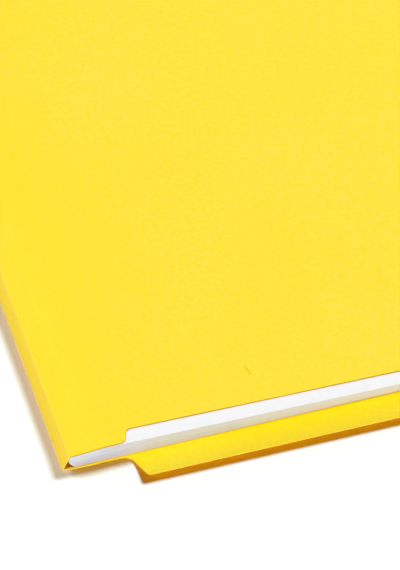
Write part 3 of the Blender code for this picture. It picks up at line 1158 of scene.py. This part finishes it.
    def _front(self) -> None:
        """Front panel, stepped back behind the tab and scored beside its crease."""
        form = self.form
        step_x = self.step_start - form.crease_u
        undercut = self.front_setback + self.front_undercut
        outline = rounded([
            (0.0, self.front_setback, 0.0),
            (step_x, self.front_setback, self.step_outer_radius),
            (step_x + self.step_flank, undercut, self.step_inner_radius),
            (form.panel_width, undercut, 0.0),
            (form.panel_width, form.body_length, form.corner_radius),
            (0.0, form.body_length, 0.0),
        ])
        blank = Blank([outline], form.card).round_rim(self.rim_radius, 0.0).mark_cut_edge()
        inner_angle = math.pi / 2 + form.spine_lean
        self._hug_crease(blank, 0.0, form.card / 2 / math.tan(inner_angle / 2), 0.0)
        half = self.score_width / 2
        score = steps(self.score_distance - half, self.score_distance + half, self.score_steps)
        crown = steps(self.crown_from, form.crown_reach, self.crown_steps)
        across, down = self.front_lines
        blank.cut(score + crown + steps(*across), steps(*down)).bend(self._front_height)
        middle = form.crease_z + form.card / 2
        dent = Dent(
            *((u, v, middle + self._front_height(u - form.crease_u, v)) for u, v in self.dent)
        )
        # The upper crease gets the same pale line of wear and painted highlight.
        crease_wear_and_highlight = CreaseWearAndHighlight((form.crease_u, form.crease_z))
        finish = replace(self.front_finish, marks=(crease_wear_and_highlight, dent))
        self.piece(
            "front_panel", blank.shape, [finish, self.front_edge_painted_shadow], Stock.CARD, Body.FRONT.value,
            "front_cover", Matrix.Translation((form.crease_u, 0.0, form.crease_z)),
        )


@dataclass(frozen=True)
class SheetStack(Assembly):
    """Punched letter sheets, fanned a little at their loose end."""

    width: float = 215.9
    length: float = 279.4
    hole_to_edge: float = 9.5
    hole_spacing: float = 70.0
    hole_radius: float = 3.57
    spine_gap: float = 0.15
    bottom_standoff: float = 4.8
    standoff_power: float = 2.3
    skew: Span = (0.0073, 0.0038)
    forward: Span = (-0.58, 0.31)
    jitter: float = 0.06
    spare_gap: Span = (0.6, 0.8)
    seed: int = 5
    crown_lines: Lines = (-107.0, -89.0, 12)
    plain_lines: Lines = (-60.0, 90.0, 5)
    settling_steps: int = 14
    edge: CutEdgeFinish = CutEdgeFinish("bond_paper_edge", (0.86, 0.86, 0.86), (0.9, 0.9, 0.9))

    def _start(self, level: float) -> float:
        """Spine edge of the sheet at a level from 0, the lowest, to 1, the highest.

        Args:
            level: The sheet's place in the stack.

        Returns:
            Place of its edge across the folder.
        """
        form = self.form
        half = form.card / 2
        height = form.stack_foot + level * (form.stack_top - form.stack_foot)
        face = half + half / math.cos(form.spine_lean)
        face += (height - form.low_crease_z) * math.tan(form.spine_lean)
        standoff = self.bottom_standoff * (1.0 - level) ** self.standoff_power
        return face + self.spine_gap + standoff

    def _shares(self, draw: random.Random) -> list[float]:
        """Share of the loose stack's spare height that lies below each sheet.

        Args:
            draw: Where the random draws come from.

        Returns:
            A share for each sheet.
        """
        least, more = self.spare_gap
        gaps = [least + more * draw.random() for _ in range(1, self.form.sheet_count)]
        below = [sum(gaps[:index]) for index in range(self.form.sheet_count)]
        return [share / below[-1] for share in below]

    def _blank(self) -> Blank:
        """Flat sheet with its two holes, and with the lines that it bends at.

        Returns:
            The blank of every sheet.
        """
        form = self.form
        outline = rectangle(self.width, self.length, middle=self.hole_to_edge - self.length / 2)
        holes = [round_hole(side * self.hole_spacing / 2, self.hole_radius) for side in (-1, 1)]
        blank = Blank(punched(outline, holes), form.sheet).mark_cut_edge()
        loose, settled = (v - form.fastener_v for v in (form.loose_length, form.settled_from))
        return blank.cut(
            steps(*self.crown_lines) + steps(*self.plain_lines),
            steps(loose, settled, self.settling_steps),
        )

    def build(self) -> None:
        """Builds the sheets from the lowest to the highest."""
        form = self.form
        draw = random.Random(self.seed)
        shares = self._shares(draw)
        blank = self._blank()
        for index, share in enumerate(shares):
            level = index / (form.sheet_count - 1)
            turn, forward = (
                low + (high - low) * level for low, high in (self.skew, self.forward)
            )
            forward += draw.uniform(-1.0, 1.0) * self.jitter
            middle = self._start(level) + draw.uniform(0.0, 1.0) * self.jitter + self.width / 2
            shape = blank.shape.copy()
            shape.transform(Matrix.Translation((middle, form.fastener_v, 0.0)))
            for vertex in shape.verts:
                free = 1.0 - form.settled(vertex.co.y)
                vertex.co.y += free * ((vertex.co.x - middle) * turn - forward)
                u, v, _ = vertex.co
                spare = form.stack_height(u, v) - form.pressed
                vertex.co.z += form.stack_base(v) + index * (form.sheet + form.sheet_gap)
                vertex.co.z += spare * share
            self.piece(
                f"bond_sheet_{index + 1:02d}", shape, [PaperFinish(), self.edge], Stock.SHEET,
                Body.BACK.value, f"sheet_{index + 1:02d}",
            )
        blank.shape.free()


@dataclass(frozen=True)
class Fastener(Assembly):
    """Bonded prong fastener: strip, patch, pressure bar and two sliding locks."""

    side: str
    body: Body
    mount: Matrix
    held: float
    spacing: float = 70.0
    strip: float = 0.25
    base_width: float = 8.0
    prong_width: float = 5.5
    prong_length: float = 28.0
    prong_bend: float = 0.4
    neck_length: float = 2.0
    strip_bevel: float = 0.05
    patch: float = 0.25
    patch_length: float = 101.6
    patch_width: float = 25.4
    patch_radius: float = 4.0
    patch_margin: float = 1.0
    patch_slope: float = 1.2
    slot_gap: float = 0.2
    bar_length: float = 88.9
    bar_radius: float = 2.2
    channel_width: float = 6.8
    channel_slope: float = 0.5
    lip_width: float = 1.1
    lip_rise: float = 0.5
    lock_length: float = 6.0
    lock_wall: float = 0.2
    lock_hook: float = 0.9
    lock_rest: float = 22.0
    lock_gap: float = 0.1
    lock_bend: float = 0.3
    lock_rim: float = 0.05
    rib_rise: float = 0.2
    rib_width: float = 1.8
    rib_crest: float = 1.6
    neck_steps: int = 6
    bend_steps: int = 9
    tip_steps: int = 12
    slope_steps: int = 6
    lip_steps: int = 8
    rib_steps: int = 10
    lock_corner_steps: int = 5
    patch_edge: CutEdgeFinish = CutEdgeFinish("kraft_edge", (0.58, 0.42, 0.23), (0.74, 0.6, 0.38))

    @property
    def patch_top(self) -> float:
        """Top of the patch over the strip."""
        return self.form.glue + self.strip + self.form.glue + self.patch

    @property
    def bar_foot(self) -> float:
        """Underside of the pressure bar."""
        return self.patch_top + self.form.rest_gap + self.held

    @property
    def slot_half_length(self) -> float:
        """Half of a slot's length along the strip."""
        return self.prong_bend + self.strip / 2 + self.slot_gap

    @property
    def bar_width(self) -> float:
        """Width of the pressure bar over its lips."""
        return self.channel_width + 2 * self.channel_slope + 2 * self.lip_width

    def build(self) -> None:
        """Builds the fastener's five pieces."""
        self._prongs()
        self._patch()
        seat = self.mount @ Matrix.Translation((0.0, 0.0, self.bar_foot))
        self._bar(seat)
        for hand, direction in (("left", -1), ("right", 1)):
            self._lock(seat, hand, direction)

    def _metal(
        self, name: str, shape: bmesh.types.BMesh, body: str, node: str, mount: Matrix
    ) -> None:
        """Makes a steel piece of this fastener, like piece."""
        self.piece(
            f"{self.side}_{name}", shape, [SteelFinish()], Stock.STEEL, body,
            f"{self.side}_{node}", mount,
        )

    def _path(self, rise: float) -> list[tuple[float, float, float]]:
        """Centre line of the strip from one prong's tip through the base to the other's.

        Args:
            rise: Height from the base to the folded prongs.

        Returns:
            The x, z and half width of each place on it.
        """
        middle = self.form.glue + self.strip / 2
        reach = self.spacing / 2
        bend = min(self.prong_bend, rise / 2)
        half_base, half_prong = self.base_width / 2, self.prong_width / 2
        top = middle + rise
        tip = reach - (self.prong_length - rise)
        half = [(0.0, middle, half_base)]
        for part in steps(0.0, 1.0, self.neck_steps):
            width = half_base + (half_prong - half_base) * smooth(part)
            half.append((reach - (2.0 - part) * self.neck_length, middle, width))
        turn = steps(0.0, math.pi / 2, self.bend_steps)
        upward = [(math.sin(angle), -math.cos(angle)) for angle in turn]
        inward = [(math.cos(angle), math.sin(angle)) for angle in turn]
        for centre, arc in ((middle + bend, upward), (top - bend, inward)):
            half += [(reach - bend + bend * x, centre + bend * z, half_prong) for x, z in arc]
        for angle in steps(0.0, math.pi / 2, self.tip_steps)[:-1]:
            x = tip + half_prong * (1 - math.sin(angle))
            half.append((x, top, half_prong * math.cos(angle)))
        return [(-x, z, width) for x, z, width in half[:0:-1]] + half

    def _prongs(self) -> None:
        """Strip with a prong at each end, bent up through the sheets and down on the bar."""
        path = self._path(self.bar_foot + self.strip)
        sections = []
        for index, (x, z, half_width) in enumerate(path):
            before, after = path[max(index - 1, 0)], path[min(index + 1, len(path) - 1)]
            along = Vector((after[0] - before[0], after[1] - before[1])).normalized()
            across = Vector((-along.y, along.x)) * (self.strip / 2)
            bevel = min(self.strip_bevel, half_width / 2)
            inset = 1.0 - bevel / (self.strip / 2)
            ring = [(-1, -half_width + bevel), (-1, half_width - bevel), (-inset, half_width)]
            ring += [(inset, half_width), (1, half_width - bevel), (1, -half_width + bevel)]
            ring += [(inset, -half_width), (-inset, -half_width)]
            sections.append([(x + across.x * t, y, z + across.y * t) for t, y in ring])
        self._metal("prong_strip", loft(sections), self.body.value, "prongs", self.mount)

    def _slots(self) -> list[Outline]:
        """Two slots that let the prongs and their bends through."""
        half_width = self.prong_width / 2 + self.slot_gap
        return [
            slot(side * self.spacing / 2, self.slot_half_length, half_width) for side in (-1, 1)
        ]

    def _patch(self) -> None:
        """Glued patch, raised over the strip and slit for the prongs."""
        form = self.form
        crest_x = self.spacing / 2 + self.slot_half_length + self.patch_margin
        crest_y = self.base_width / 2 + self.patch_margin
        x_lines, y_lines = (
            [
                side * line
                for side in (-1, 1)
                for line in steps(crest, crest + self.patch_slope, self.slope_steps)
            ]
            for crest in (crest_x, crest_y)
        )

        def height(x: float, y: float) -> float:
            """Relief of the patch over the strip."""
            nearest = min(crest_x + self.patch_slope - abs(x), crest_y + self.patch_slope - abs(y))
            return form.glue + smooth(nearest / self.patch_slope) * (self.strip + form.glue)

        outline = rectangle(self.patch_length, self.patch_width, self.patch_radius)
        blank = Blank(punched(outline, self._slots()), self.patch).mark_cut_edge()
        blank.cut(x_lines, y_lines).bend(height)
        self.piece(
            f"{self.side}_bonded_patch", blank.shape, [KraftFinish(), self.patch_edge],
            Stock.PATCH, self.body.value, f"{self.side}_patch", self.mount,
        )

    def _bar(self, seat: Matrix) -> None:
        """Slotted pressure bar, lipped along both sides for the locks.

        Args:
            seat: Where the bar lies.
        """
        inner = self.channel_width / 2
        slope = steps(inner, inner + self.channel_slope, self.lip_steps)
        lines = [side * y for side in (-1, 1) for y in slope]
        outline = rectangle(self.bar_length, self.bar_width, self.bar_radius)
        blank = Blank(punched(outline, self._slots()), self.strip).round_rim(self.strip_bevel)
        blank.cut((), lines)
        blank.bend(lambda _x, y: self.lip_rise * smooth((abs(y) - inner) / self.channel_slope))
        self._metal("pressure_bar", blank.shape, self.body.value, "compressor", seat)

    def _lock(self, seat: Matrix, hand: str, direction: int) -> None:
        """Sliding lock, hooked under the bar's lips, with a rib for the finger.

        Args:
            seat: Where the bar lies.
            hand: Which of the two locks it is.
            direction: The side of the bar that it rests on, -1 or 1.
        """
        inner = self.bar_width / 2 + self.lock_gap
        outer = inner + self.lock_wall
        ceiling = self.lip_rise + self.strip + self.lock_gap
        hook_top = self.lip_rise - self.lock_gap
        hook_base = hook_top - self.lock_wall
        hook = inner - self.lock_hook
        bend, fold = self.lock_bend, self.lock_bend - self.lock_wall
        sections = []
        half = self.lock_length / 2
        half_rib = self.rib_width / 2
        rim = half - self.lock_rim
        for x in [-half, -rim, *steps(-half_rib, half_rib, self.rib_steps), rim, half]:
            rib = self.rib_rise * smooth(self.rib_crest * (1.0 - abs(x) / half_rib))
            top = ceiling + self.lock_wall + rib
            right = [(hook, hook_base, 0.0), (outer, hook_base, fold), (outer, top, bend)]
            inside = [(hook, hook_top, 0.0), (inner, hook_top, fold), (inner, ceiling, fold)]
            around = right + [(-y, z, radius) for y, z, radius in right[::-1]]
            around += [(-y, z, radius) for y, z, radius in inside] + inside[::-1]
            outline = rounded(around, self.lock_corner_steps)
            sections.append([(x, point.x, point.y) for point in outline])
        place = seat @ Matrix.Translation((direction * self.lock_rest, 0.0, 0.0))
        body = f"{self.side}_lock_{hand}"
        self._metal(f"lock_slider_{hand}", loft(sections), body, f"lock_{hand}", place)


def fasteners(form: FolderForm) -> list[Fastener]:
    """The two fasteners: one holds the sheets, and one lies inside the front.

    Args:
        form: The shared sizes.

    Returns:
        The back fastener and the front one.
    """
    back = Matrix.Translation((form.fastener_u, form.fastener_v, form.card))
    from_crease = form.fastener_u - form.crease_u
    underside = form.crease_z - form.card / 2 - form.cover_fall(from_crease, form.fastener_v)
    front = Matrix.Translation((form.fastener_u, form.fastener_v, underside))
    front = front @ Matrix.Rotation(math.pi + math.atan(form.fastener_fall), 4, "Y")
    held = form.rest_gap + form.pressed
    return [
        Fastener(form, "back", Body.BACK, back, held),
        Fastener(form, "front", Body.FRONT, front, 0.0),
    ]


# The studio


class Lit(Enum):
    """What a lamp lights. Light linking keeps it off the rest."""

    FOLDER = "folder"
    TABLE = "table"


@dataclass(frozen=True)
class Lamp:
    """A soft lamp: the way to it, its level on a level surface, and how broad it looks."""

    name: str
    lit: Lit
    toward: Triple
    level: Colour
    breadth: float
    blocked: bool = True

    def hang(self, lit: Iterable[bpy.types.Object], table: bpy.types.Object) -> None:
        """Hangs the lamp.

        Args:
            lit: What it lights.
            table: The table, which is all that stops a lamp whose light the card lets through.
        """
        data = bpy.data.lights.new(self.name, "SUN")
        toward = Vector(self.toward).normalized()
        brightest = max(self.level)
        data.energy = brightest * math.pi / toward.z
        data.color = [part / brightest for part in self.level]
        data.angle = math.radians(self.breadth)
        lamp = placed(self.name, data)
        lamp.rotation_euler = toward.to_track_quat("Z", "Y").to_euler()
        lamp.light_linking.receiver_collection = self._linked("lights", lit)
        if not self.blocked:
            lamp.light_linking.blocker_collection = self._linked("blockers", [table])

    def _linked(self, use: str, things: Iterable[bpy.types.Object]) -> bpy.types.Collection:
        """Collection of what the lamp lights, or of what stops its light.

        Args:
            use: What the collection is for.
            things: The objects in it.

        Returns:
            The collection.
        """
        linked = bpy.data.collections.new(f"{self.name}_{use}")
        for thing in things:
            linked.objects.link(thing)
        return linked


@dataclass(frozen=True)
class Studio:
    """Table, soft lamps and the photograph's camera."""

    camera_place: Triple = (-0.379003, -1.179732, 1.247473)
    camera_height: float = math.radians(47.23)
    camera_bearing: float = math.radians(16.775)
    lens: float = 405.0
    sensor: float = 36.0
    nearest: float = 0.01
    sky: float = 0.01
    lamps: tuple[Lamp, ...] = (
        Lamp("key_lamp", Lit.FOLDER, (-0.1, -0.08, 1.0), (0.63, 0.63, 0.63), 20.0),
        Lamp("dome_lamp", Lit.FOLDER, (0.0, 0.0, 1.0), (0.28, 0.28, 0.28), 170.0),
        Lamp("side_lamp", Lit.FOLDER, (-0.38, -0.9, 0.25), (0.137, 0.139, 0.156), 40.0),
        Lamp("shadow_lamp", Lit.TABLE, (0.98, 0.46, 1.0), (0.95, 1.39, 4.9), 19.0),
        Lamp("left_lamp", Lit.TABLE, (-1.0, 1.1, 0.3), (0.28, 0.45, 1.5), 16.0),
        Lamp("card_glow", Lit.TABLE, (0.0, 0.0, 1.0), (0.41, 0.14, 0.0), 10.0, blocked=False),
    )
    table: TableFinish = TableFinish()
    table_radius: float = 9.0
    table_sides: int = 96
    table_drop: float = 0.00002

    def build(self) -> None:
        """Builds the table, the lights and the camera."""
        table = self._table()
        self._sky()
        for lamp in self.lamps:
            lamp.hang(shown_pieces() if lamp.lit is Lit.FOLDER else [table], table)
        self._camera()

    def _table(self) -> bpy.types.Object:
        """Round table, just clear of the folder's underside.

        Returns:
            The table.
        """
        shape = bmesh.new()
        bmesh.ops.create_circle(
            shape, cap_ends=True, radius=self.table_radius, segments=self.table_sides
        )
        table = meshed("table_top", shape)
        table.data.materials.append(self.table.material())
        table.location.z = -self.table_drop
        table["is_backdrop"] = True
        return table

    def _sky(self) -> None:
        """Faint even light from all round, which looks white to the camera and in metal."""
        world = bpy.data.worlds.new("studio")
        bpy.context.scene.world = world
        shader = Shader(world)
        camera, glossy, through = (
            shader.node("ShaderNodeLightPath", output=kind)
            for kind in ("Is Camera Ray", "Is Glossy Ray", "Is Transmission Ray")
        )
        level = self.sky + (camera + glossy + through).at_most(1.0) * (1.0 - self.sky)
        light = shader.node(
            "ShaderNodeBackground", {}, {"Color": (1.0, 1.0, 1.0, 1.0), "Strength": level}
        )
        shader.node("ShaderNodeOutputWorld", {}, {"Surface": light})

    def _camera(self) -> None:
        """Camera at the photograph's place, looking the photograph's way."""
        right = Vector((math.cos(self.camera_bearing), -math.sin(self.camera_bearing), 0.0))
        level = Vector((math.sin(self.camera_bearing), math.cos(self.camera_bearing), 0.0))
        ahead = level * math.cos(self.camera_height) - Vector((0, 0, math.sin(self.camera_height)))
        data = bpy.data.cameras.new("camera")
        data.sensor_fit = "HORIZONTAL"
        data.sensor_width = self.sensor
        data.lens = self.lens
        data.clip_start = self.nearest
        camera = placed("camera", data)
        axes = Matrix((right, right.cross(ahead), -ahead)).transposed().to_4x4()
        camera.matrix_world = Matrix.Translation(self.camera_place) @ axes
        bpy.context.scene.camera = camera


def main() -> None:
    """Builds the folder from its card to its fasteners, and then the studio."""
    logging.basicConfig(level=logging.INFO, format="%(message)s")
    bpy.context.scene.view_settings.view_transform = "Standard"
    form = FolderForm()
    for assembly in (CardPanels(form), SheetStack(form), *fasteners(form), Studio()):
        assembly.build()


if __name__ == "__main__":
    main()
